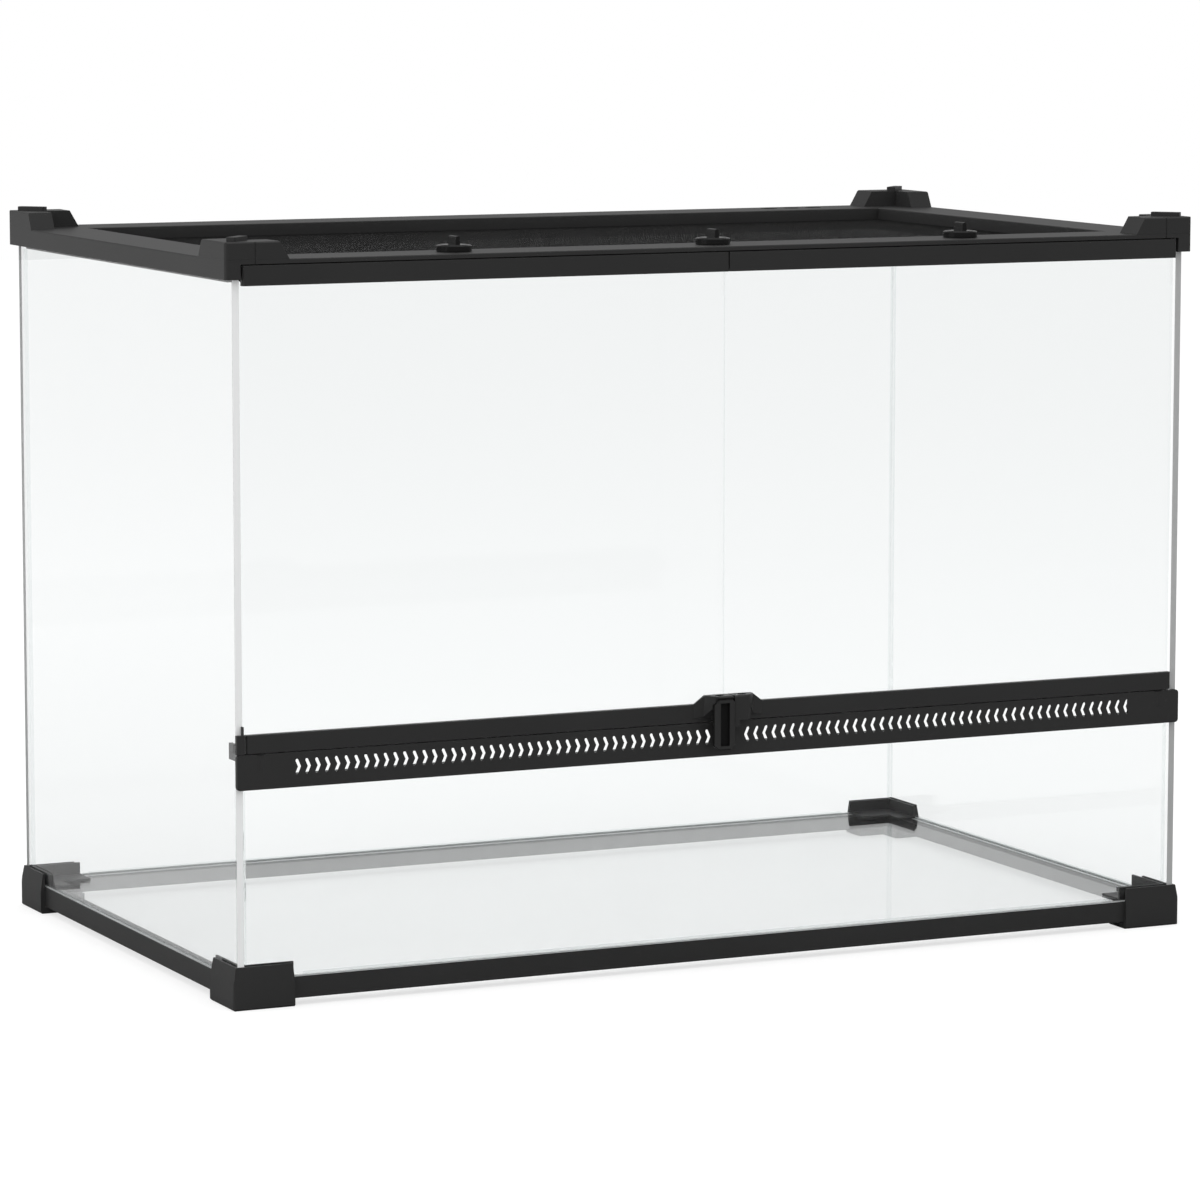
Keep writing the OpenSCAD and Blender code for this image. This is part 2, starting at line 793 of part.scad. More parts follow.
module latch_knob(i) {
    disc_z = rail_top + 0.2;
    disc_top = rail_top + 3.6;
    fin_top = rail_top + 8.6;
    fin_t = 2.2;
    fin_len = 10.5;
    color(black) latch_at(i) difference() {
        union() {
            rotate_extrude() polygon([
                [0, tongue_z + tongue_t], [spindle_r, tongue_z + tongue_t], [spindle_r, disc_z],
                [knob_r, disc_z], [knob_r, disc_top - 0.5], [knob_r - 0.5, disc_top],
                [knob_r - 2, disc_top], [knob_r - 2.3, disc_top + 0.3], [0, disc_top + 0.3]
            ]);
            along_y(-fin_len / 2, fin_len / 2) polygon([
                [-fin_t / 2 - 0.3, disc_top], [fin_t / 2 + 0.3, disc_top],
                [fin_t / 2, fin_top - 0.5], [fin_t / 2 - 0.5, fin_top],
                [-fin_t / 2 + 0.5, fin_top], [-fin_t / 2, fin_top - 0.5]
            ]);
            block_at([-drive_w / 2, -drive_w / 2, tongue_z],
                     [drive_w / 2, drive_w / 2, tongue_z + tongue_t + cut]);
        }
        translate([0, 0, tongue_z - cut]) cylinder(r = 1.2, h = 6 + cut);
    }
}

module latch_tongue(i) {
    hub_r = 4.7;
    hole = drive_w + 0.1;
    color(black) latch_at(i) translate([0, 0, tongue_z]) difference() {
        union() {
            cylinder(r = hub_r, h = tongue_t - fit);
            block_at([0, -tongue_w / 2, 0], [tongue_len - tongue_w / 2, tongue_w / 2, tongue_t - fit]);
            translate([tongue_len - tongue_w / 2, 0, 0]) cylinder(r = tongue_w / 2, h = tongue_t - fit);
        }
        translate([-hole / 2, -hole / 2, -cut]) cube([hole, hole, tongue_t + 2 * cut]);
    }
}

module latch_screw(i) {
    head_r = 3.4;
    head_h = 1.5;
    color("silver") latch_at(i) difference() {
        union() {
            translate([0, 0, tongue_z - fit - head_h]) cylinder(r = head_r, h = head_h);
            translate([0, 0, tongue_z - fit - cut]) cylinder(r = 1.1, h = 5.5 + cut);
        }
        for (a = [0, 90]) rotate(a) translate([0, 0, tongue_z - fit - head_h])
            cube([3.6, 0.8, 1.4], center = true);
    }
}

// Lid

// Section of a bar of the lid's frame: a hollow for the corner key and a groove for the spline below
module lid_bar_section() {
    difference() {
        translate([0, lid_seat_z]) square([lid_bar_w, lid_bar_t]);
        translate([0.9, lid_seat_z + 0.8]) square([5.2, lid_bar_t - 1.6]);
        translate([7.3, lid_seat_z - cut]) square([2.8, 2.7 + cut]);
    }
}

module lid_bar_side(sx) {
    color(black) quarter(sx, 1) intersection() {
        translate([lid_x, 0, 0]) mirror([1, 0, 0]) along_y(-lid_y, lid_y) lid_bar_section();
        linear_extrude(far) mitre_right(lid_x, lid_y, lid_bar_w);
    }
}

module lid_bar_long(sy) {
    color(black) quarter(1, sy) intersection() {
        translate([0, lid_y, 0]) mirror([0, 1, 0]) along_x(-lid_x, lid_x) lid_bar_section();
        linear_extrude(far) mitre_rear(lid_x, lid_y, lid_bar_w);
    }
}

module lid_corner_keys() {
    leg = 25;
    key_w = 5;
    key_in = 1;
    key_z = lid_seat_z + 0.9;
    key_t = lid_bar_t - 1.8;
    color("#444444") for (sx = [-1, 1], sy = [-1, 1]) quarter(sx, sy)
        translate([lid_x - key_in, lid_y - key_in, key_z]) linear_extrude(key_t)
            polygon([[0, 0], [-leg, 0], [-leg, -key_w], [-key_w, -key_w], [-key_w, -leg], [0, -leg]]);
}

module lid_spline() {
    r = 1.25;
    in = 8.7;
    z = lid_seat_z + 1.35;
    end = 11;
    color("#1c1c1c") {
        for (sy = [-1, 1]) translate([-lid_x + end, sy * (lid_y - in), z]) rotate([0, 90, 0])
            cylinder(r = r, h = 2 * (lid_x - end), $fn = 16);
        for (sx = [-1, 1]) translate([sx * (lid_x - in), lid_y - end, z]) rotate([90, 0, 0])
            cylinder(r = r, h = 2 * (lid_y - end), $fn = 16);
    }
}

// Woven screen, drawn as a coarse net, stretched over the top of the lid's frame
module lid_screen() {
    w = 2 * lid_x - 1;
    d = 2 * lid_y - 1;
    border = lid_bar_w - 2;
    step_x = (w - 2 * border + net_bar) / net_x;
    step_y = (d - 2 * border + net_bar) / net_y;
    color("#383838") translate([0, 0, net_z]) linear_extrude(net_t) difference() {
        square([w, d], center = true);
        for (i = [0:net_x - 1], j = [0:net_y - 1])
            translate([-w / 2 + border + i * step_x, -d / 2 + border + j * step_y])
                square([step_x - net_bar, step_y - net_bar]);
    }
}

in_frame() floor_glass();
in_frame() side_wall_glass(-1);  // left_wall_glass
in_frame() side_wall_glass(1);  // right_wall_glass
in_frame() rear_wall_glass();
in_frame() front_pane_glass();
in_frame() base_rail_long(-1);  // base_rail_front
in_frame() base_rail_long(1);  // base_rail_rear
in_frame() base_rail_side(-1);  // base_rail_left
in_frame() base_rail_side(1);  // base_rail_right
in_frame() foot(-1, -1);  // foot_front_left
in_frame() foot(1, -1);  // foot_front_right
in_frame() foot(-1, 1);  // foot_rear_left
in_frame() foot(1, 1);  // foot_rear_right
in_frame() floor_corner_clips();
in_frame() corner_seals();
in_frame() floor_seals();
in_frame() top_rail_front();
in_frame() top_rail_rear();
in_frame() top_rail_side(-1);  // top_rail_left
in_frame() top_rail_side(1);  // top_rail_right
in_frame() block(-1, -1);  // block_front_left
in_frame() block(1, -1);  // block_front_right
in_frame() block(-1, 1);  // block_rear_left
in_frame() block(1, 1);  // block_rear_right
in_frame() vent_strip();
in_frame() strip_clips();
in_frame() door_glass(-1);  // left_door_glass
in_frame() door_top_rail(-1);  // left_door_top_rail
in_frame() door_lower_rail(-1);  // left_door_lower_rail
in_frame() door_pins(-1);  // left_door_pins
in_frame() door_pull();
in_frame() door_glass(1);  // right_door_glass
in_frame() door_top_rail(1);  // right_door_top_rail
in_frame() door_lower_rail(1);  // right_door_lower_rail
in_frame() door_pins(1);  // right_door_pins
in_frame() latch_knob(-1);  // latch_left_knob
in_frame() latch_tongue(-1);  // latch_left_tongue
in_frame() latch_screw(-1);  // latch_left_screw
in_frame() latch_knob(0);  // latch_middle_knob
in_frame() latch_tongue(0);  // latch_middle_tongue
in_frame() latch_screw(0);  // latch_middle_screw
in_frame() latch_knob(1);  // latch_right_knob
in_frame() latch_tongue(1);  // latch_right_tongue
in_frame() latch_screw(1);  // latch_right_screw
in_frame() lid_bar_long(-1);  // lid_bar_front
in_frame() lid_bar_long(1);  // lid_bar_rear
in_frame() lid_bar_side(-1);  // lid_bar_left
in_frame() lid_bar_side(1);  // lid_bar_right
in_frame() lid_corner_keys();
in_frame() lid_spline();
in_frame() lid_screen();
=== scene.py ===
"""Looks of a glass terrarium with two front doors, a vent strip, a screen lid and three turn latches.

Lengths are in metres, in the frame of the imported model, unless a name says millimetres.
"""

import logging
import math
from dataclasses import dataclass
from enum import Enum
from typing import Iterable

import bpy
import numpy as np
from mathutils import Matrix, Vector


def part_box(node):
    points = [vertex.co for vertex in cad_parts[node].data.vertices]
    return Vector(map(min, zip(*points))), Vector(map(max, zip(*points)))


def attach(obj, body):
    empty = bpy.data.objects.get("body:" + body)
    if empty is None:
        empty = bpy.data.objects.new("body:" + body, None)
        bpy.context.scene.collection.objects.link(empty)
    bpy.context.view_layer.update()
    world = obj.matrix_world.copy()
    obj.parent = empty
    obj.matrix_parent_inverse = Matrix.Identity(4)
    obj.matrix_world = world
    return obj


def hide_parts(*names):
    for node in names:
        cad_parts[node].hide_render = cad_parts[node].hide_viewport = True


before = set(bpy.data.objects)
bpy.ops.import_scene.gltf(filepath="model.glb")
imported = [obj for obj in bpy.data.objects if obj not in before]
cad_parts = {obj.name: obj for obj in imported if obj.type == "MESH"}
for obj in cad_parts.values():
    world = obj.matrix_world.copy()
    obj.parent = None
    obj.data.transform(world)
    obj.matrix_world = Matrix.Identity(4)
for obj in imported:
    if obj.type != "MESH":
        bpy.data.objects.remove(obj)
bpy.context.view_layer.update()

MM = 0.001
WHITE = "ffffff"
# Cosine above which a face counts as facing a way
FACING = 0.5
# Rounding of edges: what is welded first, what counts as flat, and what counts as a sharp edge
WELD_MM = 0.002
FLAT_DEGREES = 0.5
SHARP_DEGREES = 40
# A ray crosses many faces where panes stand behind each other and mirror each other
GLASS_BOUNCES = 64
CLEAR_BOUNCES = 32
log = logging.getLogger("terrarium")


class Side(Enum):
    """The two sides of the tank, seen from the front."""

    LEFT = "left"
    RIGHT = "right"


class Place(Enum):
    """Where a turn latch sits along the front rail."""

    LEFT = "left"
    MIDDLE = "middle"
    RIGHT = "right"


def srgb(code: str) -> tuple[float, float, float, float]:
    """Turns an sRGB hex colour into a linear one.

    Args:
        code: Six hex digits, such as "2b2b2b".

    Returns:
        Red, green, blue and alpha, linear.
    """
    parts = [int(code[i : i + 2], 16) / 255 for i in (0, 2, 4)]
    return (*[c / 12.92 if c <= 0.04045 else ((c + 0.055) / 1.055) ** 2.4 for c in parts], 1.0)


def put(tree: bpy.types.NodeTree, kind: str, inputs: dict | None = None, **settings) -> bpy.types.Node:
    """Adds a node with its settings and links.

    Args:
        tree: The node tree that gets it.
        kind: The node's type, such as "ShaderNodeBump".
        inputs: A value or a linked socket for each named or numbered input.
        **settings: The node's own properties.

    Returns:
        The new node.
    """
    made = tree.nodes.new(kind)
    for name, value in settings.items():
        setattr(made, name, value)
    for socket, value in (inputs or {}).items():
        if isinstance(value, bpy.types.NodeSocket):
            tree.links.new(value, made.inputs[socket])
        else:
            made.inputs[socket].default_value = value
    return made


def blank_material(name: str) -> bpy.types.Material:
    """Makes a material with an empty node tree.

    Args:
        name: The material's name.

    Returns:
        The new material.
    """
    made = bpy.data.materials.new(name)
    made.use_nodes = True
    made.node_tree.nodes.clear()
    return made


def per_metre(size_mm: float) -> float:
    """The scale at which a noise repeats about once in size_mm."""
    return 1 / (size_mm * MM)


def let_lamps_pass(
    tree: bpy.types.NodeTree, seen: bpy.types.NodeSocket, clear: bpy.types.NodeSocket
) -> bpy.types.NodeSocket:
    """Lets lamps shine through what the eye sees as glass or silicone.

    Args:
        tree: The material's node tree.
        seen: The shader for the eye and for mirrors.
        clear: The see-through shader for the lamps' light.

    Returns:
        The two shaders, joined.
    """
    path = put(tree, "ShaderNodeLightPath")
    mixed = put(tree, "ShaderNodeMixShader", {0: path.outputs["Is Shadow Ray"], 1: seen, 2: clear})
    return mixed.outputs["Shader"]


@dataclass(frozen=True)
class Finish:
    """How a surface was made. Each finish becomes one material, which its pieces share."""

    name: str

    def material(self) -> bpy.types.Material:
        """Builds the material the first time, and finds it again later.

        Returns:
            The material that bears the finish's name.
        """
        if self.name in bpy.data.materials:
            return bpy.data.materials[self.name]
        made = blank_material(self.name)
        surface = self.surface(made.node_tree)
        put(made.node_tree, "ShaderNodeOutputMaterial", {"Surface": surface})
        return made

    def surface(self, tree: bpy.types.NodeTree) -> bpy.types.NodeSocket:
        """Lays out the nodes that make up the finish.

        Args:
            tree: The material's empty node tree.

        Returns:
            The shader that covers the surface.
        """
        raise NotImplementedError(type(self).__name__)


@dataclass(frozen=True)
class MouldedPlastic(Finish):
    """Injection-moulded plastic with a fine spark-eroded grain.

    The eye sees a deep, even tone with a satin sheen. The grain breaks reflections up a little, and the
    colour drifts slightly over a hand's width. A real grain of some 0.05 mm would be too fine to show, so it
    is drawn coarser.
    """

    colour: str
    roughness: float
    specular: float
    grain_mm: float = 0.7
    grain_depth_mm: float = 0.012
    grain_strength: float = 0.5
    drift_mm: float = 70
    drift: float = 0.12
    gloss_drift: float = 0.04
    ior: float = 1.54

    def surface(self, tree: bpy.types.NodeTree) -> bpy.types.NodeSocket:
        """Lays out the drift of colour, the grain and the plastic.

        Args:
            tree: The material's empty node tree.

        Returns:
            The plastic's shader.
        """
        place = put(tree, "ShaderNodeTexCoord").outputs["Object"]
        drift = put(
            tree, "ShaderNodeTexNoise", {"Vector": place, "Scale": per_metre(self.drift_mm), "Detail": 3}
        )
        tone = put(
            tree, "ShaderNodeMapRange",
            {"Value": drift.outputs["Fac"], "To Min": 1 - self.drift, "To Max": 1 + self.drift},
        )
        base = put(
            tree, "ShaderNodeMix", {"Factor": 1.0, 6: srgb(self.colour), 7: tone.outputs["Result"]},
            data_type="RGBA", blend_type="MULTIPLY",
        )
        grain = put(
            tree, "ShaderNodeTexNoise", {"Vector": place, "Scale": per_metre(self.grain_mm), "Detail": 4}
        )
        gloss = put(
            tree, "ShaderNodeMapRange",
            {
                "Value": grain.outputs["Fac"],
                "To Min": self.roughness - self.gloss_drift,
                "To Max": self.roughness + self.gloss_drift,
            },
        )
        relief = put(
            tree, "ShaderNodeBump",
            {
                "Height": grain.outputs["Fac"],
                "Strength": self.grain_strength,
                "Distance": self.grain_depth_mm * MM,
            },
        )
        shader = put(
            tree, "ShaderNodeBsdfPrincipled",
            {
                "Base Color": base.outputs[2],
                "Roughness": gloss.outputs["Result"],
                "Normal": relief.outputs["Normal"],
                "IOR": self.ior,
                "Specular IOR Level": self.specular,
            },
        )
        return shader.outputs["BSDF"]


@dataclass(frozen=True)
class FloatGlass(Finish):
    """Clear float glass, or its cut edge with the fine grinding that makes it safe to touch.

    The eye sees what is behind a pane hardly changed and only a breath of the room mirrored in it, and a pale
    or grey frosted line where it looks into an edge. Lamps shine through it. The IOR starts from 1.52 and is
    lowered until the panes mirror as little as the real ones do under a tent light.
    """

    tint: str
    ior: float = 1.22
    roughness: float = 0.0
    clearness: float = 1.0

    def surface(self, tree: bpy.types.NodeTree) -> bpy.types.NodeSocket:
        """Lays out the glass.

        Args:
            tree: The material's empty node tree.

        Returns:
            The glass, clear to the lamps.
        """
        glass = put(
            tree, "ShaderNodeBsdfPrincipled",
            {
                "Base Color": srgb(self.tint),
                "Roughness": self.roughness,
                "IOR": self.ior,
                "Transmission Weight": self.clearness,
            },
        )
        clear = put(tree, "ShaderNodeBsdfTransparent", {"Color": srgb(self.tint)})
        return let_lamps_pass(tree, glass.outputs["BSDF"], clear.outputs["BSDF"])


@dataclass(frozen=True)
class ClearEdge(Finish):
    """A pane's edge that is polished, or set in clear silicone: the eye hardly finds a face there."""

    tint: str

    def surface(self, tree: bpy.types.NodeTree) -> bpy.types.NodeSocket:
        """Lays out the see-through shader.

        Args:
            tree: The material's empty node tree.

        Returns:
            That shader.
        """
        return put(tree, "ShaderNodeBsdfTransparent", {"Color": srgb(self.tint)}).outputs["BSDF"]


@dataclass(frozen=True)
class Metal(Finish):
    """Plated or painted metal: the eye sees a quiet sheen that a fine grain makes slightly uneven."""

    colour: str
    roughness: float
    metallic: float
    specular: float = 0.5
    grain_mm: float = 0.5
    gloss_drift: float = 0.08

    def surface(self, tree: bpy.types.NodeTree) -> bpy.types.NodeSocket:
        """Lays out the grain and the metal or its paint.

        Args:
            tree: The material's empty node tree.

        Returns:
            The metal's shader.
        """
        place = put(tree, "ShaderNodeTexCoord").outputs["Object"]
        grain = put(
            tree, "ShaderNodeTexNoise", {"Vector": place, "Scale": per_metre(self.grain_mm), "Detail": 3}
        )
        gloss = put(
            tree, "ShaderNodeMapRange",
            {
                "Value": grain.outputs["Fac"],
                "To Min": self.roughness - self.gloss_drift,
                "To Max": self.roughness + self.gloss_drift,
            },
        )
        shader = put(
            tree, "ShaderNodeBsdfPrincipled",
            {
                "Base Color": srgb(self.colour),
                "Roughness": gloss.outputs["Result"],
                "Metallic": self.metallic,
                "Specular IOR Level": self.specular,
            },
        )
        return shader.outputs["BSDF"]


@dataclass(frozen=True)
class Silicone(Finish):
    """Clear silicone sealant, smoothed with a wet finger: a little milky, soft and slightly wavy."""

    colour: str
    milkiness: float = 0.05
    roughness: float = 0.25
    ior: float = 1.25
    clearness: float = 0.9
    wave_mm: float = 4
    wave_depth_mm: float = 0.03
    wave_strength: float = 0.4

    def surface(self, tree: bpy.types.NodeTree) -> bpy.types.NodeSocket:
        """Lays out the waves and the milky bead.

        Args:
            tree: The material's empty node tree.

        Returns:
            The silicone, clear to the lamps.
        """
        place = put(tree, "ShaderNodeTexCoord").outputs["Object"]
        wave = put(
            tree, "ShaderNodeTexNoise", {"Vector": place, "Scale": per_metre(self.wave_mm), "Detail": 2}
        )
        relief = put(
            tree, "ShaderNodeBump",
            {
                "Height": wave.outputs["Fac"],
                "Strength": self.wave_strength,
                "Distance": self.wave_depth_mm * MM,
            },
        )
        soft = put(
            tree, "ShaderNodeBsdfPrincipled",
            {
                "Base Color": srgb(self.colour),
                "Roughness": self.roughness,
                "IOR": self.ior,
                "Transmission Weight": self.clearness,
                "Normal": relief.outputs["Normal"],
            },
        )
        clear = put(tree, "ShaderNodeBsdfTransparent", {"Color": srgb(self.colour)})
        milk = put(
            tree, "ShaderNodeMixShader",
            {0: self.milkiness, 1: clear.outputs["BSDF"], 2: soft.outputs["BSDF"]},
        )
        return let_lamps_pass(tree, milk.outputs["Shader"], clear.outputs["BSDF"])


# Rails, feet, corner blocks and vent strip: an even satin black
FRAME_ABS = MouldedPlastic("moulded_abs_frame", "303030", 0.45, 0.14)
# The doors' rails and pull: the same black, a touch smoother
DOOR_ABS = MouldedPlastic("moulded_abs_doors", "303030", 0.38, 0.13)
# Knobs and tongues: a deeper black with tighter highlights
LATCH_ACETAL = MouldedPlastic("moulded_acetal_latches", "1a1a1a", 0.24, 0.13, grain_depth_mm=0.004)
# Painted shade on the pull: a darker, duller black on its groove, top and left side stands in for the shade
# in the slot and along its outline
GRIP_PAINTED_SHADE = MouldedPlastic("pull_painted_shade_abs", "191919", 0.7, 0.08, grain_mm=0.9, grain_depth_mm=0.05)
# Hinge pins and corner keys: smooth, with a soft shine
PIN_ACETAL = MouldedPlastic("moulded_acetal_pins", "303030", 0.35, 0.4, grain_depth_mm=0.004)
# Faces of the panes: almost nothing but a breath of grey
PANE_GLASS = FloatGlass("float_glass", "f6f7f7")
# Edges as seamed by a belt: pale and frosted
SEAMED_EDGE = FloatGlass("seamed_glass_edge", "fcfdfd", roughness=0.2, clearness=0.04)
# Edges ground flat: a grey line
GROUND_EDGE = FloatGlass("ground_glass_edge", "b2b3b3", roughness=0.35, clearness=0.05)
# Edges bonded in silicone of nearly the same index: no line
CLEAR_EDGE = ClearEdge("clear_glass_edge", "fdfdfd")
# Polished edges where the doors meet: a faint line
DOOR_EDGE = ClearEdge("polished_door_edge", "f9fafa")
# Beads in the corners and round the floor: a soft, clear fillet
SEALANT = Silicone("clear_silicone", "fafbfb")
# Silicone under the walls, painted pale: the pale line on the rails is partly squeezed-out silicone and
# partly a painted highlight for the lit bottom edge of the glass
WALL_SEAL_AND_GLINT = MouldedPlastic("silicone_line_and_painted_glint", "dcdede", 0.4, 0.3, grain_mm=4, grain_depth_mm=0.02)
# Silicone film under the floor pane, with painted reflection: its grey on the black ledge stands in for the
# white room mirrored in the floor pane at a grazing angle
FLOOR_FILM_AND_REFLECTION = MouldedPlastic("silicone_film_and_painted_reflection", "5a5b5b", 0.4, 0.3, grain_mm=4, grain_depth_mm=0.02)
# The lid's bars: dull black with a fine powder grain
LID_METAL = Metal("powder_coated_aluminium", "171717", 0.5, 0.0, 0.25)
# Latch screws: bright grey with blurred highlights
SCREW_STEEL = Metal("zinc_plated_steel", "b9bcbf", 0.32, 1.0)
# The cord that holds the screen: matt black
SPLINE_RUBBER = MouldedPlastic("extruded_rubber", "141414", 0.7, 0.3, grain_depth_mm=0.02)
# The screen's wires: black with hardly any shine
WIRE_COATING = Metal("black_coated_wire", "151515", 0.55, 0.0, 0.15, 0.3)


def dress(nodes: Iterable[str], finish: Finish, edge_mm: float = 0) -> None:
    """Gives CAD nodes their finish, and rounds their sharp edges a little where edge_mm says so.

    Args:
        nodes: Names of CAD nodes.
        finish: What they are made of.
        edge_mm: Radius of the rounding, or 0 for none.
    """
    for name in nodes:
        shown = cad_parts[name]
        shown.data.materials.clear()
        shown.data.materials.append(finish.material())
        if edge_mm:
            soften(shown, edge_mm)
        log.info("%s: %s", name, finish.name)


def dress_panes(nodes: Iterable[str]) -> None:
    """Gives panes their clear faces and their pale seamed edges.

    Args:
        nodes: Names of the panes.
    """
    dress(nodes, PANE_GLASS, 0.2)
    for name in nodes:
        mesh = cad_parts[name].data
        mesh.materials.append(SEAMED_EDGE.material())
        places = np.array([vertex.co for vertex in mesh.vertices])
        thin = int(np.argmin(np.ptp(places, axis=0)))
        for face in mesh.polygons:
            face.material_index = int(abs(face.normal[thin]) < FACING)


def finish_edge(name: str, outward: Vector, finish: Finish) -> None:
    """Gives one edge of a dressed pane another finish.

    Args:
        name: The pane's name.
        outward: The way that the edge faces.
        finish: How the edge was worked.
    """
    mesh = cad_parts[name].data
    mesh.materials.append(finish.material())
    for face in mesh.polygons:
        if face.normal.dot(outward) > FACING:
            face.material_index = len(mesh.materials) - 1


def finish_ends(name: str, finish: Finish) -> None:
    """Gives both upright ends of a dressed pane that faces the front or the rear another finish.

    Args:
        name: The pane's name.
        finish: How the ends were worked.
    """
    for toward in (-1, 1):
        finish_edge(name, Vector((toward, 0, 0)), finish)


def soften(shown: bpy.types.Object, edge_mm: float) -> None:
    """Rounds a CAD node's sharp edges with modifiers, which leave its own mesh alone.

    Args:
        shown: The node's object.
        edge_mm: Radius of the rounding.
    """
    custom = shown.data.attributes.get("custom_normal")
    if custom:
        shown.data.attributes.remove(custom)
    shown.data.shade_smooth()
    weld = shown.modifiers.new("weld", "WELD")
    weld.merge_threshold = WELD_MM * MM
    flat = shown.modifiers.new("flat_faces", "DECIMATE")
    flat.decimate_type = "DISSOLVE"
    flat.angle_limit = math.radians(FLAT_DEGREES)
    bevel = shown.modifiers.new("edges", "BEVEL")
    bevel.width = edge_mm * MM
    bevel.segments = 2
    bevel.limit_method = "ANGLE"
    bevel.angle_limit = math.radians(SHARP_DEGREES)
    bevel.harden_normals = True
    normals = shown.modifiers.new("normals", "WEIGHTED_NORMAL")
    normals.keep_sharp = True


def new_piece(name: str, vertices: np.ndarray, faces: np.ndarray, finish: Finish) -> bpy.types.Object:
    """Makes a smooth-shaded mesh of four-sided faces and puts it in the scene.

    Args:
        name: The piece's name.
        vertices: Places, one row each.
        faces: Four vertex numbers a row.
        finish: What it is made of.

    Returns:
        The new object, which rides on nothing yet.
    """
    mesh = bpy.data.meshes.new(name)
    mesh.from_pydata(vertices.tolist(), [], faces.tolist())
    mesh.shade_smooth()
    mesh.materials.append(finish.material())
    made = bpy.data.objects.new(name, mesh)
    bpy.context.scene.collection.objects.link(made)
    return made


@dataclass
class Tank:
    """The glass box with its base frame, feet and sealant."""

    walls: tuple[str, ...] = ("left_wall_glass", "right_wall_glass", "rear_wall_glass", "front_pane_glass")
    base_rails: tuple[str, ...] = ("base_rail_front", "base_rail_rear", "base_rail_left", "base_rail_right")
    feet: tuple[str, ...] = ("foot_front_left", "foot_front_right", "foot_rear_left", "foot_rear_right")
    level_mm: float = 0.1

    def build(self) -> None:
        """Dresses the panes, the base and the beads of sealant."""
        dress_panes([*self.walls, "floor_glass"])
        finish_edge("right_wall_glass", Vector((0, -1, 0)), GROUND_EDGE)
        finish_edge("left_wall_glass", Vector((0, 1, 0)), GROUND_EDGE)
        finish_edge("right_wall_glass", Vector((0, 1, 0)), CLEAR_EDGE)
        finish_ends("rear_wall_glass", CLEAR_EDGE)
        finish_ends("front_pane_glass", CLEAR_EDGE)
        dress(self.base_rails, FRAME_ABS, 0.3)
        dress(self.feet, FRAME_ABS, 0.4)
        dress(["floor_corner_clips"], FRAME_ABS, 0.2)
        dress(["corner_seals", "floor_seals"], SEALANT)
        self.seal_and_paint_light()

    def seal_and_paint_light(self) -> None:
        """Beds the walls on the rails' shoulders, and the floor pane on their lower ledges, in silicone: pale
        on the shoulders as a painted highlight of the glass's edge, grey on the ledges as a painted
        reflection in the floor pane.
        """
        for name in self.base_rails:
            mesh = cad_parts[name].data
            mesh.materials.append(WALL_SEAL_AND_GLINT.material())
            mesh.materials.append(FLOOR_FILM_AND_REFLECTION.material())
            shoulder = max(vertex.co.z for vertex in mesh.vertices)
            # Painted light: pale on the shoulders (painted highlight of the glass's edge), grey on the lower
            # ledges (painted reflection in the floor pane)
            for face in mesh.polygons:
                if face.normal.z > FACING:
                    face.material_index = 1 if shoulder - face.center.z < self.level_mm * MM else 2


@dataclass
class TopFrame:
    """The four top rails with their corner blocks."""

    rails: tuple[str, ...] = ("top_rail_front", "top_rail_rear", "top_rail_left", "top_rail_right")
    blocks: tuple[str, ...] = ("block_front_left", "block_front_right", "block_rear_left", "block_rear_right")

    def build(self) -> None:
        """Dresses the rails and the blocks."""
        dress(self.rails, FRAME_ABS, 0.1)
        dress(self.blocks, FRAME_ABS, 0.1)


@dataclass
class VentStrip:
    """The slotted strip under the doors, with the clips at its ends."""

    def build(self) -> None:
        """Dresses the strip and its clips."""
        dress(["vent_strip"], FRAME_ABS, 0.12)
        dress(["strip_clips"], FRAME_ABS, 0.15)


@dataclass
class Door:
    """One glass door in its two rails, on two hinge pins."""

    side: Side
    groove_mm: tuple[float, float] = (-9.2, -3.5)
    groove_depth_mm: float = 2.3
    face_depth_mm: float = 0.1
    slant: float = 0.4

    def build(self) -> None:
        """Dresses the door, and the pull if it is the left one."""
        side = self.side.value
        dress_panes([f"{side}_door_glass"])
        finish_ends(f"{side}_door_glass", DOOR_EDGE)
        dress([f"{side}_door_top_rail", f"{side}_door_lower_rail"], DOOR_ABS, 0.15)
        dress([f"{side}_door_pins"], PIN_ACETAL)
        if self.side is Side.LEFT:
            dress(["door_pull"], DOOR_ABS, 0.25)
            self.paint_pull_shade()

    def paint_pull_shade(self) -> None:
        """Paints shade on the pull: its groove, its top and its left side get a darker, duller black that
        stands in for the shade there.
        """
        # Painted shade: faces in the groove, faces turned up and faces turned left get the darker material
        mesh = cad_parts["door_pull"].data
        mesh.materials.append(GRIP_PAINTED_SHADE.material())
        front = min(vertex.co.y for vertex in mesh.vertices)
        left, right = (edge * MM for edge in self.groove_mm)
        for face in mesh.polygons:
            depth = face.center.y - front
            between = left < face.center.x < right
            grooved = between and self.face_depth_mm * MM < depth < self.groove_depth_mm * MM
            shaded_side = face.normal.x < -self.slant or face.normal.z > self.slant
            face.material_index = int(grooved or shaded_side)


@dataclass
class TurnLatch:
    """One turn latch: knob, tongue and screw."""

    place: Place

    def build(self) -> None:
        """Dresses the latch."""
        stem = f"latch_{self.place.value}"
        dress([f"{stem}_knob", f"{stem}_tongue"], LATCH_ACETAL, 0.15)
        dress([f"{stem}_screw"], SCREW_STEEL)


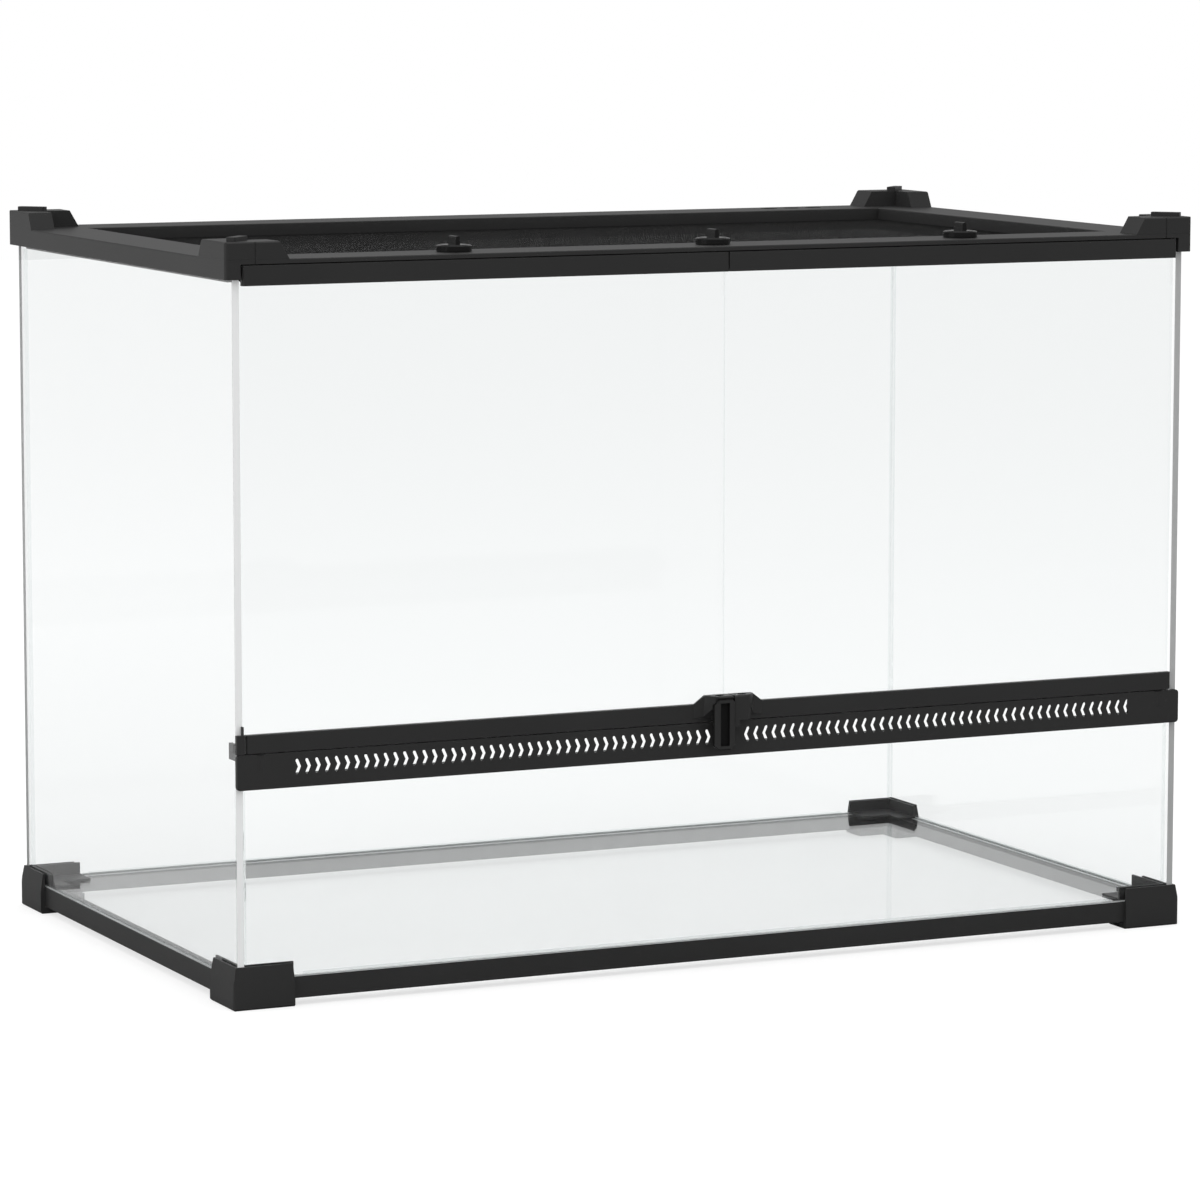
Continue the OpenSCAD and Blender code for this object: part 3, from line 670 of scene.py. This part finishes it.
@dataclass
class ScreenLid:
    """The lift-out lid: four mitred bars, corner keys, spline and a woven screen."""

    pitch_mm: float = 2.4
    wire_mm: float = 0.3
    wire_sides: int = 4
    swing: float = 0.9
    bars: tuple[str, ...] = ("lid_bar_front", "lid_bar_rear", "lid_bar_left", "lid_bar_right")

    def build(self) -> None:
        """Dresses the frame and weaves the screen."""
        dress(self.bars, LID_METAL, 0.2)
        dress(["lid_corner_keys"], PIN_ACETAL)
        dress(["lid_spline"], SPLINE_RUBBER)
        self.weave()

    def wires(
        self, along: np.ndarray, across: np.ndarray, height: float, phase: int
    ) -> tuple[np.ndarray, np.ndarray]:
        """Square-sided wires that go over and under each other, each bent once at a crossing.

        Args:
            along: Places of the crossings along a wire.
            across: Places of the wires.
            height: Height of the middle of the screen.
            phase: 0 for the wires that start above, 1 for those that start below.

        Returns:
            Vertices with (along, across, height) in their columns, and faces.
        """
        radius = self.wire_mm / 2 * MM
        corner = np.arange(self.wire_sides)
        n, m = len(along), len(across)
        i, j, k = np.meshgrid(np.arange(n), np.arange(m), corner, indexing="ij")
        wave = np.where((i + j + phase) % 2 == 0, self.swing, -self.swing) * radius
        turn = (k + 0.5) * 2 * math.pi / self.wire_sides
        vertices = np.stack(
            [along[i], across[j] + radius * np.cos(turn), height + wave + radius * np.sin(turn)], axis=-1
        ).reshape(-1, 3)
        number = np.arange(len(vertices)).reshape(n, m, self.wire_sides)
        after = np.roll(number, -1, axis=2)
        faces = np.stack([number[:-1], number[1:], after[1:], after[:-1]], axis=-1).reshape(-1, 4)
        return vertices, faces

    def weave(self) -> None:
        """Replaces the CAD net by a woven screen of the same size."""
        low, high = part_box("lid_screen")
        height = (low.z + high.z) / 2
        radius = self.wire_mm / 2 * MM
        counts = [round((high[a] - low[a]) / (self.pitch_mm * MM)) for a in (0, 1)]
        xs, ys = (np.linspace(low[a] + radius, high[a] - radius, counts[a] + 1) for a in (0, 1))
        warp, warp_faces = self.wires(xs, ys, height, 0)
        weft, weft_faces = self.wires(ys, xs, height, 1)
        weft = weft[:, [1, 0, 2]]
        vertices = np.vstack([warp, weft])
        faces = np.vstack([warp_faces, weft_faces[:, ::-1] + len(warp)])
        screen = new_piece("woven_screen", vertices, faces, WIRE_COATING)
        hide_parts("lid_screen")
        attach(screen, "lid")
        log.info("woven_screen: %d by %d wires", len(ys), len(xs))


@dataclass(frozen=True)
class SoftBox:
    """A large square lamp that gives soft, even light."""

    name: str
    place: tuple[float, float, float]
    aim: tuple[float, float, float]
    size: float
    watts: float

    def hang(self) -> None:
        """Puts the lamp in the scene, turned towards its aim."""
        data = bpy.data.lights.new(self.name, "AREA")
        data.shape = "SQUARE"
        data.size = self.size
        data.energy = self.watts
        made = bpy.data.objects.new(self.name, data)
        made.location = self.place
        made.rotation_euler = (Vector(self.aim) - Vector(self.place)).to_track_quat("-Z", "Y").to_euler()
        bpy.context.scene.collection.objects.link(made)


OVERHEAD = SoftBox("overhead", (0.2, -0.3, 2.6), (0, 0, 0.2), size=2.2, watts=18)
LEFT_SIDE = SoftBox("left_side", (-2.6, -0.2, 1.0), (0, 0, 0.3), size=1.8, watts=16)


@dataclass
class Studio:
    """The pale floor, the room, the soft lamps and the camera."""

    camera_place: tuple[float, float, float] = (-1.3168, -2.7930, 0.5851)
    camera_down: float = math.radians(7.3065)
    camera_right: float = math.radians(25.2668)
    camera_roll: float = math.radians(0.0338)
    lens_mm: float = 158.22
    sensor_mm: float = 36
    far: float = 60
    floor_half: float = 6
    floor_drop_mm: float = 0.02
    floor_shade: str = "a8a8a8"
    floor_glow: float = 0.67
    glow_reach: tuple[float, float] = (0.2, 1.6)
    room_light: float = 0.95
    front_dusk: float = 0.35
    rear_light: float = 0.5
    dusk_reach: tuple[float, float] = (-0.6, 0.3)
    lamps: tuple[SoftBox, ...] = (OVERHEAD, LEFT_SIDE)

    def build(self) -> None:
        """Makes everything that isn't part of the tank."""
        self.camera()
        self.floor()
        self.world()
        for lamp in self.lamps:
            lamp.hang()

    def camera(self) -> None:
        """Puts the camera where the photograph was taken from."""
        data = bpy.data.cameras.new("camera")
        data.sensor_width = self.sensor_mm
        data.lens = self.lens_mm
        data.clip_end = self.far
        made = bpy.data.objects.new("camera", data)
        turn = Matrix.Rotation(-self.camera_right, 4, "Z")
        tilt = Matrix.Rotation(math.pi / 2 - self.camera_down, 4, "X")
        roll = Matrix.Rotation(self.camera_roll, 4, "Z")
        made.matrix_world = Matrix.Translation(self.camera_place) @ turn @ tilt @ roll
        bpy.context.scene.collection.objects.link(made)
        bpy.context.scene.camera = made

    def seen(self, tree: bpy.types.NodeTree, path: bpy.types.Node) -> bpy.types.NodeSocket:
        """Tells a ray that sees a thing, straight or through glass, from one that lights or mirrors it.

        Args:
            tree: The node tree.
            path: Its Light Path node.

        Returns:
            1 for a ray that sees, and 0 for any other.
        """
        either = put(
            tree, "ShaderNodeMath",
            {0: path.outputs["Is Camera Ray"], 1: path.outputs["Is Transmission Ray"]}, operation="MAXIMUM",
        )
        return either.outputs["Value"]

    def floor(self) -> None:
        """Lays a white floor that keeps a faint shadow. Mirrors see it lit more brightly behind the tank."""
        h = self.floor_half
        mesh = bpy.data.meshes.new("floor")
        mesh.from_pydata([(-h, -h, 0), (h, -h, 0), (h, h, 0), (-h, h, 0)], [], [(0, 1, 2, 3)])
        paint = blank_material("white_floor_paint")
        tree = paint.node_tree
        matt = put(tree, "ShaderNodeBsdfDiffuse", {"Color": srgb(self.floor_shade)})
        white = put(tree, "ShaderNodeEmission", {"Color": srgb(WHITE), "Strength": self.floor_glow})
        both = put(tree, "ShaderNodeAddShader", {0: matt.outputs["BSDF"], 1: white.outputs["Emission"]})
        path = put(tree, "ShaderNodeLightPath")
        place = put(tree, "ShaderNodeTexCoord").outputs["Object"]
        spot = put(tree, "ShaderNodeSeparateXYZ", {"Vector": place})
        near, far = self.glow_reach
        behind = put(
            tree, "ShaderNodeMapRange",
            {"Value": spot.outputs["Y"], "From Min": near, "From Max": far, "To Max": self.floor_glow},
            interpolation_type="SMOOTHSTEP",
        )
        rear = put(tree, "ShaderNodeEmission", {"Color": srgb(WHITE), "Strength": behind.outputs["Result"]})
        lit = put(tree, "ShaderNodeAddShader", {0: matt.outputs["BSDF"], 1: rear.outputs["Emission"]})
        mirrored = put(
            tree, "ShaderNodeMixShader",
            {0: path.outputs["Is Glossy Ray"], 1: matt.outputs["BSDF"], 2: lit.outputs["Shader"]},
        )
        mixed = put(
            tree, "ShaderNodeMixShader",
            {0: self.seen(tree, path), 1: mirrored.outputs["Shader"], 2: both.outputs["Shader"]},
        )
        put(tree, "ShaderNodeOutputMaterial", {"Surface": mixed.outputs["Shader"]})
        mesh.materials.append(paint)
        made = bpy.data.objects.new("floor", mesh)
        made.location.z = -self.floor_drop_mm * MM
        bpy.context.scene.collection.objects.link(made)

    def world(self) -> None:
        """Makes the room: white where it is seen, softer as a light, and darkest in mirrors at the front."""
        world = bpy.data.worlds.new("studio")
        bpy.context.scene.world = world
        world.use_nodes = True
        tree = world.node_tree
        tree.nodes.clear()
        path = put(tree, "ShaderNodeLightPath")
        heading = put(tree, "ShaderNodeTexCoord").outputs["Generated"]
        way = put(tree, "ShaderNodeSeparateXYZ", {"Vector": heading})
        front, rear = self.dusk_reach
        dusk = put(
            tree, "ShaderNodeMapRange",
            {
                "Value": way.outputs["Y"],
                "From Min": front,
                "From Max": rear,
                "To Min": self.front_dusk,
                "To Max": self.rear_light,
            },
            interpolation_type="SMOOTHSTEP",
        )
        soft = put(tree, "ShaderNodeBackground", {"Color": srgb(WHITE), "Strength": self.room_light})
        room = put(tree, "ShaderNodeBackground", {"Color": srgb(WHITE), "Strength": dusk.outputs["Result"]})
        white = put(tree, "ShaderNodeBackground", {"Color": srgb(WHITE), "Strength": 1.0})
        unseen = put(
            tree, "ShaderNodeMixShader",
            {0: path.outputs["Is Glossy Ray"], 1: soft.outputs["Background"], 2: room.outputs["Background"]},
        )
        mixed = put(
            tree, "ShaderNodeMixShader",
            {0: self.seen(tree, path), 1: unseen.outputs["Shader"], 2: white.outputs["Background"]},
        )
        put(tree, "ShaderNodeOutputWorld", {"Surface": mixed.outputs["Shader"]})


def main() -> None:
    """Builds the tank piece by piece, then the room round it."""
    logging.basicConfig(level=logging.INFO, format="%(name)s: %(message)s")
    scene = bpy.context.scene
    scene.view_settings.view_transform = "Standard"
    scene.cycles.use_denoising = True
    scene.cycles.max_bounces = GLASS_BOUNCES
    scene.cycles.transmission_bounces = GLASS_BOUNCES
    scene.cycles.glossy_bounces = GLASS_BOUNCES
    scene.cycles.transparent_max_bounces = CLEAR_BOUNCES
    assemblies = [Tank(), TopFrame(), VentStrip()]
    assemblies += [Door(side) for side in Side]
    assemblies += [TurnLatch(place) for place in Place]
    assemblies += [ScreenLid(), Studio()]
    for part in assemblies:
        part.build()
        log.info("%s done", type(part).__name__)


if __name__ == "__main__":
    main()
